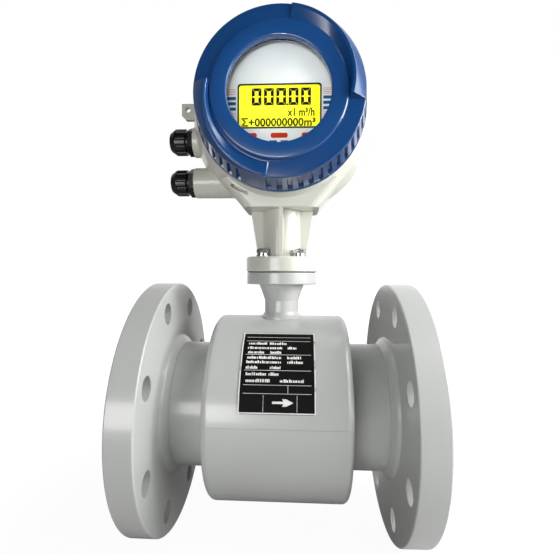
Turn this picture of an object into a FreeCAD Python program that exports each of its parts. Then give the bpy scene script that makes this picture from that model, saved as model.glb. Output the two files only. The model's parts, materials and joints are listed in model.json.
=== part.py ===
import FreeCAD, Part
import math
import os

# Electromagnetic flow meter with a round two-cover converter on a short neck.
# Millimetres. Origin at the centre of the flow tube, +X with the flow,
# -Y towards the display, +Z up the neck.

V = FreeCAD.Vector
ORIGIN = V(0, 0, 0)
ALONG_FLOW = V(1, 0, 0)
FORWARD = V(0, -1, 0)
BACKWARD = V(0, 1, 0)
UP = V(0, 0, 1)

# Flow tube and flanges: 4 inch pipe, class 150
face_to_face = 250.0
tube_outer_r = 57.15
tube_wall = 4.5
flange_r = 114.3
flange_thick = 22.3
raised_face_inset = 16.65
raised_face_height = 1.6
bolt_circle_inset = 19.05
bolt_hole_r = 9.525
bolt_hole_count = 8
flange_weld_leg = 7.0
flange_edge_round = 1.2
lining_wall = 3.5
lining_flare_thick = 2.2
lining_lip_round = 1.6

# Coil housing, two pressed halves welded round the tube
housing_r = 84.15
housing_length = 119.7
housing_wall = 3.5
housing_corner_round = 6.0
housing_split_z = 5.7
housing_weld_leg = 3.0

# Magnet system
coil_thick = 6.0
coil_half_length = 38.0
coil_half_width = 34.0
coil_winding_width = 17.0
coil_corner_round = 12.0
core_gap = 1.0
core_height = 12.0
yoke_thick = 2.5

# Electrodes
electrode_stem_r = 3.0
electrode_head_r = 6.0
electrode_head_thick = 1.5
electrode_boss_r = 8.5
electrode_boss_height = 4.5
insulator_wall = 2.0
insulator_flange_thick = 2.0
electrode_nut_across = 10.0
electrode_nut_thick = 4.0
electrode_tail = 1.0

# Rating plate, wrapped on the front of the coil housing
plate_half_width = 30.0
plate_thick = 0.5
plate_low_angle = 11.6
plate_high_angle = 60.3
plate_corner_round = 2.0

# Neck, welded on the coil housing and ending in a bolted disc
neck_r = 15.7
neck_wall = 3.0
neck_cone_z = 99.0
neck_cone_r = 21.3
neck_disc_z = 114.7
neck_disc_thick = 10.9
neck_disc_r = 33.0
neck_disc_round = 1.0
neck_weld_leg = 4.5
gasket_thick = 0.8
gasket_setback = 1.0

# Bolts between the neck and the converter
bolt_shank_r = 3.0
bolt_head_across = 10.0
bolt_head_thick = 4.0
bolt_grip_depth = 8.0
bolt_pitch_r = 23.8
base_bolt_count = 4
flat_washer_r = 6.0
spring_washer_r = 5.2
washer_thick = 1.6
washer_play = 0.2

# Converter housing casting
base_disc_r = 33.5
base_disc_thick = 13.8
stem_r = 17.6
fin_thick = 3.8
fin_reach_low = 22.5
fin_reach_high = 29.5
plinth_z = 184.0
plinth_half_x = 34.5
plinth_half_y = 30.0
plinth_round = 10.0
plinth_top_half_x = 56.0
plinth_top_half_y = 34.0
plinth_height = 26.0
belly_r = 84.0
belly_sink = 0.7
belly_half = 6.0
waist_inset = 5.5
waist_y = 26.0
shoulder_width = 5.0
shoulder_y = 41.0
belly_round = 20.0
waist_round = 30.0
collar_r = 65.0
collar_end_y = 62.0
casing_wall = 4.5
partition_front_y = 13.0
partition_back_y = 7.0
slot_inset = 0.9
slot_width = 2.4
slot_from_angle = 202.0
slot_sweep = 12.6
slot_start = 0.5
cable_pass_r = 6.5

# Cable entries on the left
entry_boss_r = 14.4
entry_low_drop = 55.8
entry_high_drop = 16.5
entry_low_reach = -0.7
entry_high_reach = 0.6
entry_thread_r = 10.0
entry_boss_round = 1.0

# Fixing lug on the left
lug_reach = 13.0
lug_low_rise = 4.7
lug_high_rise = 20.0
lug_thick = 5.0
lug_cut = 4.0
lug_hole_r = 2.5
lug_hole_inset = 6.0
lug_hole_rise = 14.3

# Screwed covers, front with a window and rear closed
running_gap = 0.3
cover_rim_r = 73.1
cover_rim_width = 3.2
cover_cone_rear_r = 72.3
cover_cone_front_r = 67.8
cover_band_y = 73.3
cover_face_y = 77.5
cover_boss_r = 54.4
cover_edge_round = 1.4
cover_boss_round = 2.4
cover_wall = 5.0
cover_seat_y = 71.7
window_opening_r = 40.9
window_r = 47.5
window_thick = 4.0
window_gasket_thick = 0.5
window_gasket_width = 4.5
window_collar_wall = 2.5
retainer_thick = 2.0
retainer_inner_r = 42.5
window_collar_y = 64.9
grip_count = 50
grip_depth = 2.6
grip_width = 4.6
grip_floor_width = 3.0
grip_start_y = 47.0
ramp_start_angle = 8.0
ramp_end_angle = 96.7
ramp_smooth_span = 15.0
ramp_low = 2.0
ramp_high = 9.8
ramp_end_crest_r = 57.2
ramp_crest_width = 2.6
ramp_power = 1.3
ramp_sections = 7
ramp_root = 1.0
seal_section_r = 1.15
seal_groove_y = 44.3
seal_groove_width = 3.0
seal_groove_depth = 2.6

# Display, seen through the window
faceplate_y = 64.2
faceplate_thick = 2.0
faceplate_r = 56.0
screen_half_x = 33.75
screen_half_z = 17.9
screen_drop = 8.3
screen_border = 1.3
screen_round = 2.5
screen_proud = 0.4
screen_body_thick = 4.2
screen_body_margin = 2.0
key_half_x = 6.85
key_half_z = 2.0
key_pitch = 24.9
key_drop = 31.8
key_proud = 0.2
board_thick = 1.6
display_board_r = 54.0
main_board_r = 54.0
power_board_r = 60.0
main_board_y = 42.0
power_board_y = 24.0
post_across = 6.0
post_x = 36.0
post_z = 34.0
post_hole_r = 1.6
connector_inset = 12.0
connector_half_z = 3.5
display_plug_half_x = 12.0
display_plug_height = 6.0
display_chip_half = 7.0
display_chip_height = 2.0
main_plug_half_x = 14.0
main_plug_height = 7.0
power_plug_half_x = 16.0
power_plug_height = 9.0

# Blocks on the boards: x, z, half width, half height, how far they stand
main_board_blocks = ((-12.0, 6.0, 10.0, 10.0, 2.0), (16.0, -14.0, 6.0, 4.0, 2.0), (14.0, 18.0, 5.0, 7.0, 3.5))
power_board_blocks = ((-14.0, -4.0, 15.0, 12.0, 13.0), (16.0, 22.0, 8.0, 5.0, 9.0))

# Round capacitors on the boards: x, z, radius, height
main_board_cans = ((-26.0, -22.0, 4.0, 8.0),)
power_board_cans = ((16.0, -4.0, 7.0, 14.0), (16.0, -22.0, 5.0, 12.0))
screw_head_r = 2.8
screw_neck_r = 1.3

# Rear terminals
terminal_half_x = 40.0
terminal_depth = 22.0
terminal_low = -16.0
terminal_high = 6.0
terminal_count = 9
terminal_pitch = 8.4
terminal_screw_r = 2.6
terminal_screw_proud = 1.2
terminal_step = 6.0
earth_screw_r = 4.0
earth_screw_x = 30.0
earth_screw_drop = 38.0
earth_screw_thick = 3.0

# Sensor cable up the neck
cable_r = 3.4
cable_y = 7.6
potting_z = 116.0
potting_thick = 8.0

# Cable glands
gland_across = 24.0
gland_hex_thick = 5.0
gland_thread_length = 9.0
gland_stem_r = 9.4
gland_stem_length = 16.5
gland_wire_r = 6.5
gland_nut_gap = 2.4
gland_nut_length = 15.5
gland_nut_r = 12.4
gland_nut_dome = 5.5
gland_nut_mouth_r = 6.8
gland_nut_end = 2.0
gland_nut_flutes = 12
gland_flute_r = 1.6
seal_bore_r = 4.5

# Worked out from the above
flange_front_x = face_to_face / 2 - lining_flare_thick - raised_face_height
flange_back_x = flange_front_x - flange_thick
bolt_circle_r = flange_r - bolt_circle_inset
raised_face_r = bolt_circle_r - raised_face_inset
tube_end_x = flange_front_x + raised_face_height
lining_outer_r = tube_outer_r - tube_wall
bore_r = lining_outer_r - lining_wall
head_seat_r = bore_r + electrode_head_thick
boss_top = tube_outer_r + electrode_boss_height
insulator_top = boss_top + insulator_flange_thick
housing_half = housing_length / 2
core_half_length = coil_half_length - coil_winding_width - core_gap
core_half_width = coil_half_width - coil_winding_width - core_gap
yoke_r = tube_outer_r + core_height
neck_bore_r = neck_r - neck_wall
joint_z = neck_disc_z + neck_disc_thick
base_disc_z = joint_z + gasket_thick
base_top_z = base_disc_z + base_disc_thick
head_z = plinth_z + belly_r - belly_sink
HEAD = V(0, 0, head_z)
entry_low_z = head_z - entry_low_drop
entry_high_z = head_z - entry_high_drop
entry_low_x = -belly_r - entry_low_reach
entry_high_x = -belly_r - entry_high_reach
waist_r = belly_r - waist_inset
shoulder_r = collar_r + shoulder_width
slot_mid_r = waist_r - slot_inset
slot_floor_y = waist_y + slot_start
collar_bore_r = collar_r - casing_wall
skirt_bore_r = collar_r + running_gap
skirt_end_y = shoulder_y + running_gap
cover_inner_y = cover_band_y - cover_wall
skirt_stop_y = collar_end_y + 1.0
window_front_y = cover_seat_y - window_gasket_thick
window_back_y = window_front_y - window_thick
faceplate_back_y = faceplate_y - faceplate_thick
display_board_y = faceplate_back_y - screen_body_thick
key_shifts = (-key_pitch, 0, key_pitch)


def corner_arc(before, here, after, rounding):
    """The three points of the arc that rounds one corner, or the bare corner."""
    if rounding <= 0:
        return [here]
    back = V(before - here).normalize()
    ahead = V(after - here).normalize()
    half = back.getAngle(ahead) / 2
    reach = rounding / math.tan(half)
    middle = V(back + ahead).normalize() * (rounding / math.sin(half) - rounding)
    return [here + back * reach, here + middle, here + ahead * reach]


def outline(corners, place):
    """Closed face through (u, v, rounding) corners; place turns u and v into a point."""
    points = [place(u, v) for u, v, _ in corners]
    count = len(points)
    turns = []
    for i, (_, _, rounding) in enumerate(corners):
        turns.append(corner_arc(points[i - 1], points[i], points[(i + 1) % count], rounding))
    edges = []
    for i, turn in enumerate(turns):
        if len(turn) == 3:
            edges.append(Part.Arc(*turn).toShape())
        following = turns[(i + 1) % count][0]
        if turn[-1].distanceToPoint(following) > 1e-6:
            edges.append(Part.LineSegment(turn[-1], following).toShape())
    return Part.Face(Part.Wire(edges))


def turned(corners, centre, axis, sweep=360):
    """Solid turned about an axis; a corner is (distance along it, radius, rounding)."""
    across = V(1, 0, 0) if abs(axis.z) > 0.5 else UP
    face = outline(corners, lambda u, v: centre + axis * u + across * v)
    return face.revolve(centre, axis, sweep)


def ring(inner_r, outer_r, start, end, centre, axis):
    """Plain tube between two distances along an axis."""
    outer = Part.makeCylinder(outer_r, end - start, centre + axis * start, axis)
    if inner_r <= 0:
        return outer
    return outer.cut(Part.makeCylinder(inner_r, end - start, centre + axis * start, axis))


def block(x0, x1, y0, y1, z0, z1):
    return Part.makeBox(x1 - x0, y1 - y0, z1 - z0, V(x0, y0, z0))


def rounded_rectangle(half_u, half_v, rounding, place):
    corners = [(-half_u, -half_v, rounding), (half_u, -half_v, rounding)]
    corners += [(half_u, half_v, rounding), (-half_u, half_v, rounding)]
    return outline(corners, place)


def hexagon(across, start, end, centre, axis, spin=0):
    """Hexagonal bar; spin turns it about its own axis."""
    side = V(0, 1, 0) if abs(axis.x) > 0.5 else V(1, 0, 0)
    radius = across / math.sqrt(3)
    first = centre + axis * start + side * radius
    corners = []
    for i in range(7):
        turn = FreeCAD.Rotation(axis, spin + 60 * i)
        corners.append(centre + axis * start + turn.multVec(first - centre - axis * start))
    return Part.Face(Part.makePolygon(corners)).extrude(axis * (end - start))


def spun(shape, centre, axis, angle):
    copy = shape.copy()
    copy.rotate(centre, axis, angle)
    return copy


def mirrored_in_x(shape):
    return shape.mirror(ORIGIN, ALONG_FLOW)


def joined(pieces):
    body = pieces[0].multiFuse(pieces[1:])
    return body.removeSplitter()


# ---------------------------------------------------------------- flow tube

def electrode_hole_cutter(radius, inner, outer):
    """Cylinders on both electrode positions, front and back."""
    return [ring(0, radius, inner, outer, ORIGIN, side) for side in (FORWARD, BACKWARD)]


def measuring_tube():
    tube = ring(lining_outer_r, tube_outer_r, -tube_end_x, tube_end_x, ORIGIN, ALONG_FLOW)
    bosses = electrode_hole_cutter(electrode_boss_r, lining_outer_r + 1, boss_top)
    hole_r = electrode_stem_r + insulator_wall
    tube = joined([tube] + bosses)
    clear_bore = ring(0, lining_outer_r, -tube_end_x, tube_end_x, ORIGIN, ALONG_FLOW)
    tube = tube.cut(clear_bore)
    return tube.cut(Part.makeCompound(electrode_hole_cutter(hole_r, bore_r - 5, boss_top + 1)))


def flange():
    """Slip-on flange with its weld bead, on the outlet side."""
    plate = turned([
        (flange_back_x, tube_outer_r, 0),
        (flange_back_x, flange_r, flange_edge_round),
        (flange_front_x, flange_r, flange_edge_round),
        (flange_front_x, raised_face_r, 0),
        (tube_end_x, raised_face_r, 0),
        (tube_end_x, tube_outer_r, 0),
    ], ORIGIN, ALONG_FLOW)
    bead = turned([
        (flange_back_x - flange_weld_leg, tube_outer_r, 0),
        (flange_back_x - 0.4 * flange_weld_leg, tube_outer_r + 0.8 * flange_weld_leg, 3),
        (flange_back_x, tube_outer_r + flange_weld_leg, 0),
        (flange_back_x, tube_outer_r, 0),
    ], ORIGIN, ALONG_FLOW)
    plate = joined([plate, bead])
    holes = []
    for i in range(bolt_hole_count):
        hole = ring(0, bolt_hole_r, flange_back_x - 1, flange_front_x + 1,
                    V(0, 0, bolt_circle_r), ALONG_FLOW)
        holes.append(spun(hole, ORIGIN, ALONG_FLOW, (i + 0.5) * 360 / bolt_hole_count))
    return plate.cut(Part.makeCompound(holes))


def lining():
    """Fluoroplastic liner, flared over both raised faces."""
    end_x = face_to_face / 2
    body = turned([
        (-end_x, bore_r, lining_lip_round),
        (-end_x, raised_face_r, 0),
        (-tube_end_x, raised_face_r, 0),
        (-tube_end_x, lining_outer_r, 0),
        (tube_end_x, lining_outer_r, 0),
        (tube_end_x, raised_face_r, 0),
        (end_x, raised_face_r, 0),
        (end_x, bore_r, lining_lip_round),
    ], ORIGIN, ALONG_FLOW)
    stem_holes = electrode_hole_cutter(electrode_stem_r, bore_r - 5, tube_outer_r)
    head_seats = electrode_hole_cutter(electrode_head_r, bore_r - 5, head_seat_r)
    return body.cut(Part.makeCompound(stem_holes)).cut(Part.makeCompound(head_seats))


# ------------------------------------------------------------ coil housing

def coil_housing():
    """Both halves in one piece: a drum closed by end walls on the tube."""
    half, wall, leg = housing_half, housing_wall, housing_weld_leg
    shell = turned([
        (-half - leg, tube_outer_r, 0),
        (-half, tube_outer_r + leg, 0),
        (-half, housing_r, housing_corner_round),
        (half, housing_r, housing_corner_round),
        (half, tube_outer_r + leg, 0),
        (half + leg, tube_outer_r, 0),
        (half - wall, tube_outer_r, 0),
        (half - wall, housing_r - wall, housing_corner_round - wall),
        (wall - half, housing_r - wall, housing_corner_round - wall),
        (wall - half, tube_outer_r, 0),
    ], ORIGIN, ALONG_FLOW)
    neck_hole = ring(0, neck_r, 0, housing_r + 1, ORIGIN, UP)
    return shell.cut(neck_hole)


def housing_half_piece(shell, upper):
    reach = flange_r
    if upper:
        keep = block(-reach, reach, -reach, reach, housing_split_z, reach)
    else:
        keep = block(-reach, reach, -reach, reach, -reach, housing_split_z)
    return shell.common(keep)


def saddle_coil():
    """Racetrack winding bent over the top of the tube."""
    def flat(u, v):
        return V(u, v, 0)
    width = coil_winding_width
    outer = rounded_rectangle(coil_half_length, coil_half_width, coil_corner_round, flat)
    inner = rounded_rectangle(coil_half_length - width, coil_half_width - width, 2, flat)
    track = outer.cut(inner).extrude(UP * housing_r)
    band = ring(tube_outer_r, tube_outer_r + coil_thick, -housing_half, housing_half,
                ORIGIN, ALONG_FLOW)
    return band.common(track)


def pole_core():
    """Iron core through the coil window, from the tube to the yoke."""
    post = block(-core_half_length, core_half_length, -core_half_width, core_half_width,
                 0, housing_r)
    band = ring(tube_outer_r, yoke_r, -core_half_length, core_half_length, ORIGIN, ALONG_FLOW)
    return band.common(post)


def magnet_yoke():
    return ring(yoke_r, yoke_r + yoke_thick, -core_half_length, core_half_length,
                ORIGIN, ALONG_FLOW)


def below(shape):
    """The same piece on the lower side of the tube."""
    return spun(shape, ORIGIN, ALONG_FLOW, 180)


def both_sides(make_piece):
    """One piece at the front electrode and its twin at the back one."""
    return Part.makeCompound([make_piece(FORWARD), make_piece(BACKWARD)])


def electrode(side):
    """Head flush with the bore, stem out through the wall."""
    stem_top = insulator_top + electrode_nut_thick + electrode_tail
    pin = turned([
        (bore_r - electrode_head_thick, 0, 0),
        (bore_r - electrode_head_thick, electrode_head_r, 0),
        (head_seat_r, electrode_head_r, 0),
        (head_seat_r, electrode_stem_r, 0),
        (stem_top, electrode_stem_r, 0),
        (stem_top, 0, 0),
    ], ORIGIN, side)
    return pin.cut(ring(0, bore_r, -housing_half, housing_half, ORIGIN, ALONG_FLOW))


def electrode_insulator(side):
    sleeve_r = electrode_stem_r + insulator_wall
    sleeve = turned([
        (lining_outer_r - 1, electrode_stem_r, 0),
        (lining_outer_r - 1, sleeve_r, 0),
        (boss_top, sleeve_r, 0),
        (boss_top, electrode_boss_r - 1, 0),
        (insulator_top, electrode_boss_r - 1, 0),
        (insulator_top, electrode_stem_r, 0),
    ], ORIGIN, side)
    return sleeve.cut(ring(0, lining_outer_r, -housing_half, housing_half, ORIGIN, ALONG_FLOW))


def electrode_nut(side):
    nut = hexagon(electrode_nut_across, insulator_top, insulator_top + electrode_nut_thick,
                  ORIGIN, side)
    return nut.cut(ring(0, electrode_stem_r, 0, housing_r, ORIGIN, side))


def rating_plate():
    """Thin plate bent to the housing, between two heights on its front."""
    low, high = math.radians(plate_low_angle), math.radians(plate_high_angle)
    middle = (low + high) / 2
    half_arc = housing_r * (high - low) / 2
    facing = V(0, -math.cos(middle), math.sin(middle))
    upward = V(0, math.sin(middle), math.cos(middle))
    flat_half = housing_r * math.sin(half_arc / housing_r)

    def lay(u, v):
        return ALONG_FLOW * u + upward * v + facing * housing_r * 0.5

    sheet = rounded_rectangle(plate_half_width, flat_half, plate_corner_round, lay)
    band = ring(housing_r, housing_r + plate_thick, -housing_half, housing_half,
                ORIGIN, ALONG_FLOW)
    return band.common(sheet.extrude(facing * housing_r))


# -------------------------------------------------------------------- neck

def bolt_positions():
    turn = 360 / base_bolt_count
    for i in range(base_bolt_count):
        angle = math.radians((i + 0.5) * turn)
        yield V(bolt_pitch_r * math.cos(angle), bolt_pitch_r * math.sin(angle), 0)


def bolt_holes(radius, start, end):
    return Part.makeCompound([ring(0, radius, start, end, at, UP) for at in bolt_positions()])


def neck_tube():
    """Pipe, cone and disc, with the weld bead that holds it on the housing."""
    body = turned([
        (housing_r - housing_wall - 2, neck_bore_r, 0),
        (housing_r - housing_wall - 2, neck_r, 0),
        (neck_cone_z, neck_r, 4),
        (neck_disc_z, neck_cone_r, 0),
        (neck_disc_z, neck_disc_r, neck_disc_round),
        (joint_z, neck_disc_r, neck_disc_round),
        (joint_z, neck_bore_r, 0),
    ], ORIGIN, UP)
    bead = turned([
        (housing_r - 4, neck_r - 1, 0),
        (housing_r - 4, neck_r + neck_weld_leg, 0),
        (housing_r, neck_r + neck_weld_leg, 0),
        (housing_r + 0.35 * neck_weld_leg, neck_r + 0.35 * neck_weld_leg, 3),
        (housing_r + neck_weld_leg, neck_r, 0),
        (housing_r + neck_weld_leg, neck_r - 1, 0),
    ], ORIGIN, UP)
    bead = bead.cut(ring(0, housing_r, -housing_half, housing_half, ORIGIN, ALONG_FLOW))
    return joined([body, bead]).cut(bolt_holes(bolt_shank_r, joint_z - bolt_grip_depth, joint_z))


def neck_gasket():
    body = ring(neck_bore_r, neck_disc_r - gasket_setback, joint_z, base_disc_z, ORIGIN, UP)
    return body.cut(bolt_holes(bolt_shank_r + washer_play, joint_z, base_disc_z))


def flat_washers():
    return Part.makeCompound([
        ring(bolt_shank_r + washer_play, flat_washer_r, base_top_z, base_top_z + washer_thick,
             at, UP) for at in bolt_positions()])


def spring_washers():
    start = base_top_z + washer_thick
    washers = []
    for at in bolt_positions():
        washer = ring(bolt_shank_r + washer_play, spring_washer_r, start, start + washer_thick,
                      at, UP)
        split = block(0, spring_washer_r + 1, -0.4, 0.4, start - 1, start + washer_thick + 1)
        split.translate(at)
        washers.append(washer.cut(split))
    return Part.makeCompound(washers)


def base_bolts():
    head_z0 = base_top_z + 2 * washer_thick
    bolts = []
    for at in bolt_positions():
        shank = ring(0, bolt_shank_r, joint_z - bolt_grip_depth, head_z0, at, UP)
        head = hexagon(bolt_head_across, head_z0, head_z0 + bolt_head_thick, at, UP, 15)
        crown = turned([
            (head_z0, 0, 0),
            (head_z0, bolt_head_across / math.sqrt(3), 0),
            (head_z0 + 0.75 * bolt_head_thick, bolt_head_across / math.sqrt(3), 0),
            (head_z0 + bolt_head_thick, bolt_head_across / 2 - 0.3, 0),
            (head_z0 + bolt_head_thick, 0, 0),
        ], at, UP)
        bolts.append(shank.fuse(head.common(crown)))
    return Part.makeCompound(bolts)


# ------------------------------------------------------- converter housing

def casing_outside():
    """Bulged drum with a threaded collar at each end."""
    half = [
        (belly_half, belly_r, belly_round),
        (waist_y, waist_r, waist_round),
        (shoulder_y, shoulder_r, 1.5),
        (shoulder_y, collar_r, 0),
        (collar_end_y, collar_r, 1),
    ]
    other = [(-y, r, rounding) for y, r, rounding in reversed(half)]
    closing = [(collar_end_y, 0, 0), (-collar_end_y, 0, 0)]
    return turned(other + half + closing, HEAD, FORWARD)


def casing_cavity(side, floor_y):
    """The room on one side of the partition, open at the collar."""
    wall = casing_wall
    belly = [(belly_half, belly_r - wall), (waist_y - wall / 3, waist_r - wall)]
    if floor_y > belly_half:
        share = (floor_y - belly_half) / (belly[1][0] - belly_half)
        floor_r = belly[0][1] + share * (belly[1][1] - belly[0][1])
        wide = [(floor_y, floor_r, 3)]
    else:
        wide = [(floor_y, belly[0][1], 3), (*belly[0], 0)]
    return turned([(floor_y, 0, 0)] + wide + [
        (*belly[1], 20),
        (shoulder_y - wall, shoulder_r - wall, 2),
        (shoulder_y - wall, collar_bore_r, 0),
        (collar_end_y + 1, collar_bore_r, 0),
        (collar_end_y + 1, 0, 0),
    ], HEAD, side)


def plinth():
    """Tapered foot between the stem and the drum."""
    def level(z):
        return lambda u, v: V(u, v, z)
    low = rounded_rectangle(plinth_half_x, plinth_half_y, plinth_round, level(plinth_z))
    top_z = plinth_z + plinth_height
    high = rounded_rectangle(plinth_top_half_x, plinth_top_half_y, plinth_round, level(top_z))
    return Part.makeLoft([low.OuterWire, high.OuterWire], True, True)


def stem_fin(angle):
    """Upright rib on the stem, wider at its top."""
    half = fin_thick / 2
    corners = [(0, base_top_z), (fin_reach_low, base_top_z), (fin_reach_high, plinth_z),
               (0, plinth_z), (0, base_top_z)]
    side = Part.Face(Part.makePolygon([V(x, -half, z) for x, z in corners]))
    return spun(side.extrude(V(0, fin_thick, 0)), ORIGIN, UP, angle)


def converter_stem():
    """Ribbed stem on its bolted disc, up to the foot of the plinth."""
    disc = turned([
        (base_disc_z, 0, 0),
        (base_disc_z, base_disc_r, neck_disc_round),
        (base_top_z, base_disc_r, 2),
        (base_top_z, 0, 0),
    ], ORIGIN, UP)
    column = ring(neck_bore_r, stem_r, base_disc_z, plinth_z, ORIGIN, UP)
    body = joined([disc, column] + [stem_fin(90 * i) for i in range(4)])
    body = body.cut(ring(0, neck_bore_r, base_disc_z - 1, plinth_z + 1, ORIGIN, UP))
    return body.cut(bolt_holes(bolt_shank_r + washer_play, base_disc_z - 1, base_top_z + 1))


def entry_bosses():
    """Round bosses that take the glands, along -X."""
    bosses = []
    for z, face_x in ((entry_low_z, entry_low_x), (entry_high_z, entry_high_x)):
        bosses.append(turned([
            (-face_x, 0, 0),
            (-face_x, entry_boss_r, entry_boss_round),
            (belly_r / 2, entry_boss_r, 0),
            (belly_r / 2, 0, 0),
        ], V(0, 0, z), V(-1, 0, 0)))
    return bosses


def entry_holes():
    return [ring(0, entry_thread_r, belly_r / 3, flange_r, V(0, 0, z), V(-1, 0, 0))
            for z in (entry_low_z, entry_high_z)]


def fixing_lug():
    """Flat ear on the belly, with a hole for a tag or a seal wire."""
    tip_x = -belly_r - lug_reach
    low_z, high_z = head_z + lug_low_rise, head_z + lug_high_rise
    corners = [(tip_x, low_z + lug_cut), (tip_x + lug_cut, low_z), (-belly_r / 2, low_z),
               (-belly_r / 2, high_z), (tip_x, high_z), (tip_x, low_z + lug_cut)]
    face = Part.Face(Part.makePolygon([V(x, -lug_thick / 2, z) for x, z in corners]))
    ear = face.extrude(V(0, lug_thick, 0)).cut(casing_outside())
    at = V(tip_x + lug_hole_inset, 0, head_z + lug_hole_rise)
    return ear.cut(ring(0, lug_hole_r, -lug_thick, lug_thick, at, FORWARD))


def casting_slot():
    """Curved drain slot low on the front slope."""
    inner, outer = slot_mid_r - slot_width / 2, slot_mid_r + slot_width / 2
    slot = turned([
        (slot_floor_y, inner, 0),
        (slot_floor_y, outer, 0),
        (shoulder_y, outer, 0),
        (shoulder_y, inner, 0),
    ], HEAD, BACKWARD, slot_sweep)
    slot = slot.mirror(ORIGIN, BACKWARD)
    return spun(slot, HEAD, BACKWARD, slot_from_angle)


def converter_housing():
    """Drum on its plinth, with a room on each side of the partition."""
    low_cut = block(-belly_r, belly_r, -belly_r, belly_r, head_z - belly_r - 1, plinth_z)
    body = joined([casing_outside().cut(low_cut), plinth()] + entry_bosses())
    pass_top = head_z - belly_r + 3 * casing_wall
    cut = [casing_cavity(FORWARD, partition_front_y), casting_slot(),
           casing_cavity(BACKWARD, -partition_back_y),
           ring(0, cable_pass_r, plinth_z - 1, pass_top, V(0, cable_y, 0), UP)]
    for tool in cut + entry_holes():
        body = body.cut(tool)
    return body


# ------------------------------------------------------------------ covers

def ramp_section(angle):
    """Cross-section of a wrench ramp at one angle, clockwise from the top."""
    share = (angle - ramp_start_angle) / (ramp_end_angle - ramp_start_angle)
    height = ramp_low + (ramp_high - ramp_low) * share
    crest_r = cover_cone_front_r - (cover_cone_front_r - ramp_end_crest_r) * share ** ramp_power
    foot_r = cover_boss_r + 0.2
    root_y = cover_band_y - ramp_root
    corners = [
        (foot_r, root_y),
        (foot_r, cover_band_y),
        (crest_r - ramp_crest_width, cover_band_y + height),
        (crest_r, cover_band_y + height),
        (cover_cone_front_r, cover_band_y),
        (cover_cone_front_r, root_y),
    ]
    points = [HEAD + FORWARD * y + UP * r for r, y in corners]
    return spun(Part.makePolygon(points + points[:1]), HEAD, BACKWARD, angle)


def wrench_ramp():
    step = (ramp_end_angle - ramp_start_angle) / (ramp_sections - 1)
    sections = [ramp_section(ramp_start_angle + step * i) for i in range(ramp_sections)]
    return Part.makeLoft(sections, True, False)


def grip_cutter():
    """Tapered groove that follows the cone, open at the front."""
    slope = (cover_cone_rear_r - cover_cone_front_r) / (cover_band_y - grip_start_y)
    start_r = cover_cone_rear_r
    length = cover_band_y - grip_start_y + 2
    half, floor = grip_width / 2, grip_floor_width / 2
    floor_r = start_r - grip_depth
    corners = [(-half, start_r + 2), (-floor, floor_r), (floor, floor_r), (half, start_r + 2)]
    points = [HEAD + FORWARD * grip_start_y + V(x, 0, r) for x, r in corners]
    face = Part.Face(Part.makePolygon(points + points[:1]))
    return face.extrude(FORWARD * length - UP * slope * length)


def grip_angles():
    """Groove positions, leaving the smooth start of each ramp."""
    for i in range(grip_count):
        angle = 360 * i / grip_count
        past_start = (angle - ramp_start_angle) % 180
        if past_start > ramp_smooth_span:
            yield angle


def cover_blank(centre_corners):
    """Turned cover; centre_corners close the profile round its middle."""
    groove_end = seal_groove_y + seal_groove_width
    corners = [
        (skirt_end_y, skirt_bore_r, 0.5),
        (skirt_end_y, cover_rim_r, 0.8),
        (skirt_end_y + cover_rim_width, cover_rim_r, 0.8),
        (skirt_end_y + cover_rim_width, cover_cone_rear_r, 0),
        (cover_band_y, cover_cone_front_r, cover_edge_round),
        (cover_band_y, cover_boss_r, 0.8),
        (cover_face_y, cover_boss_r, cover_boss_round),
    ] + centre_corners + [
        (cover_inner_y, collar_bore_r, 2),
        (skirt_stop_y, collar_bore_r, 0),
        (skirt_stop_y, skirt_bore_r, 0),
        (groove_end, skirt_bore_r, 0),
        (groove_end, skirt_bore_r + seal_groove_depth, 0),
        (seal_groove_y, skirt_bore_r + seal_groove_depth, 0),
        (seal_groove_y, skirt_bore_r, 0),
    ]
    return turned(corners, HEAD, FORWARD)


def cover(centre_corners):
    """Blank with its two ramps added and its grip grooves cut."""
    ramp = wrench_ramp()
    body = joined([cover_blank(centre_corners), ramp, spun(ramp, HEAD, BACKWARD, 180)])
    cutter = grip_cutter()
    grooves = [spun(cutter, HEAD, BACKWARD, angle) for angle in grip_angles()]
    return body.cut(Part.makeCompound(grooves))


def front_cover():
    collar_out_r = window_r + window_collar_wall
    return cover([
        (cover_face_y, window_opening_r, 1.2),
        (cover_seat_y, window_opening_r, 0),
        (cover_seat_y, window_r, 0),
        (window_collar_y, window_r, 0),
        (window_collar_y, collar_out_r, 0),
        (cover_inner_y, collar_out_r, 0),
    ])


def rear_cover():
    closed = cover([
        (cover_face_y, 0, 0),
        (cover_inner_y, 0, 0),
    ])
    return spun(closed, ORIGIN, UP, 180)


def cover_seal():
    """O-ring in the groove of the front cover's skirt."""
    groove_floor_r = skirt_bore_r + seal_groove_depth
    middle_r = (collar_r + groove_floor_r) / 2
    middle_y = seal_groove_y + seal_groove_width / 2
    return Part.makeTorus(middle_r, seal_section_r, HEAD + FORWARD * middle_y, FORWARD)


def window_gasket():
    return ring(window_r - window_gasket_width, window_r, window_front_y, cover_seat_y,
                HEAD, FORWARD)


def window_glass():
    return ring(0, window_r, window_back_y, window_front_y, HEAD, FORWARD)


def window_retainer():
    """Screwed ring with four key slots."""
    body = ring(retainer_inner_r, window_r, window_back_y - retainer_thick, window_back_y,
                HEAD, FORWARD)
    slots = []
    for i in range(4):
        slot = block(-1.5, 1.5, -window_back_y, -window_back_y + retainer_thick + 1,
                     head_z + retainer_inner_r - 1, head_z + window_r - 2)
        slots.append(spun(slot, HEAD, BACKWARD, 90 * i + 45))
    lip = ring(retainer_inner_r, window_r, window_back_y - 0.6, window_back_y, HEAD, FORWARD)
    return body.cut(Part.makeCompound(slots)).fuse(lip).removeSplitter()


# ------------------------------------------------------------- electronics

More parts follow.
